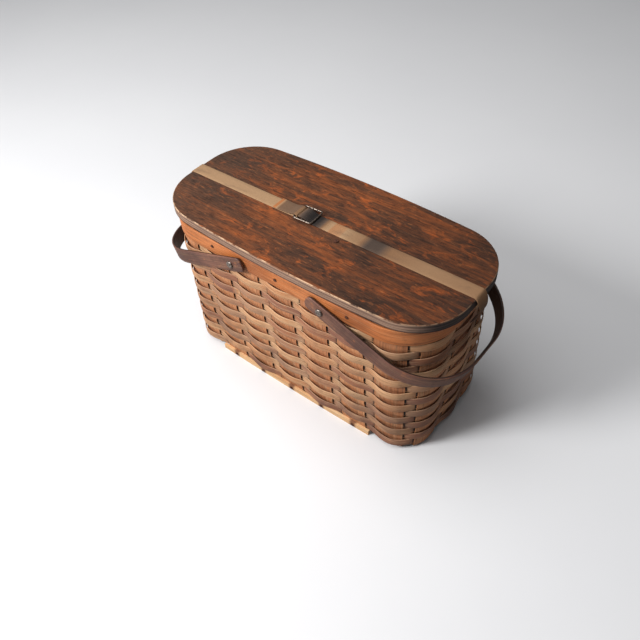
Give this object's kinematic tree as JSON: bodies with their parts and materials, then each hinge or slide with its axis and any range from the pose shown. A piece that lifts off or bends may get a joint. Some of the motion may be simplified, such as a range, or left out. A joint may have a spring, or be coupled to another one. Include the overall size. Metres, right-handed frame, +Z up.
{
  "type": "insulated picnic basket",
  "caption": "Insulated picnic basket of woven splints with a flat wooden lid, a buckled webbing strap and two swinging bentwood handles.",
  "frame": {"origin": "on the floor, under the middle of the basket", "axes": "+X along the length, -Y towards the front wall, +Z up"},
  "size_m": [0.5208, 0.228, 0.2681],
  "materials": {
    "splint": "matte",
    "hoop_wood": "satin",
    "runner_wood": "matte",
    "nail_iron": "rusted",
    "insulation": "matte",
    "liner_metal": "satin",
    "lid_wood": "satin",
    "webbing": "matte",
    "buckle_iron": "worn",
    "handle_wood": "satin",
    "rivet_metal": "worn"
  },
  "bodies": {
    "basket": {"handle_rivets": "rivet_metal", "inner_hoop": "hoop_wood", "insulation_floor": "insulation", "insulation_wall": "insulation", "liner_tub": "liner_metal", "rim_band": "hoop_wood", "rim_nails": "nail_iron", "rivet_washers": "rivet_metal", "runner_back": "runner_wood", "runner_front": "runner_wood", "runner_nails": "nail_iron", "stake_cross_1": "splint", "stake_cross_2": "splint", "stake_cross_3": "splint", "stake_cross_4": "splint", "stake_cross_5": "splint", "stake_cross_6": "splint", "stake_cross_7": "splint", "stake_long_back": "splint", "stake_long_front": "splint", "stake_long_middle": "splint", "weaver_01": "splint", "weaver_02": "splint", "weaver_03": "splint", "weaver_04": "splint", "weaver_05": "splint", "weaver_06": "splint", "weaver_07": "splint", "weaver_08": "splint", "weaver_09": "splint", "weaver_10": "splint", "weaver_11": "splint", "weaver_12": "splint", "weaver_13": "splint", "weaver_14": "splint", "weaver_15": "splint", "weaver_16": "splint"},
    "lid": {"lid_board": "lid_wood", "lid_insulation": "insulation", "lid_pan": "liner_metal", "lid_rivet": "nail_iron", "strap_left": "webbing", "strap_right": "webbing", "buckle_frame": "buckle_iron"},
    "handle_left": {"handle_left": "handle_wood"},
    "handle_right": {"handle_right": "handle_wood"}
  },
  "joints": [
    {"name": "lid_lift", "type": "slide", "parent": "basket", "child": "lid", "axis": [0, 0, 1], "range_m": [0, 0.045]},
    {"name": "handle_left_swing", "type": "hinge", "parent": "basket", "child": "handle_left", "pos_m": [-0.078, 0, 0.226], "axis": [0, 1, 0], "range_deg": [0, 129]},
    {"name": "handle_right_swing", "type": "hinge", "parent": "basket", "child": "handle_right", "pos_m": [0.078, 0, 0.226], "axis": [0, -1, 0], "range_deg": [0, 129]}
  ]
}
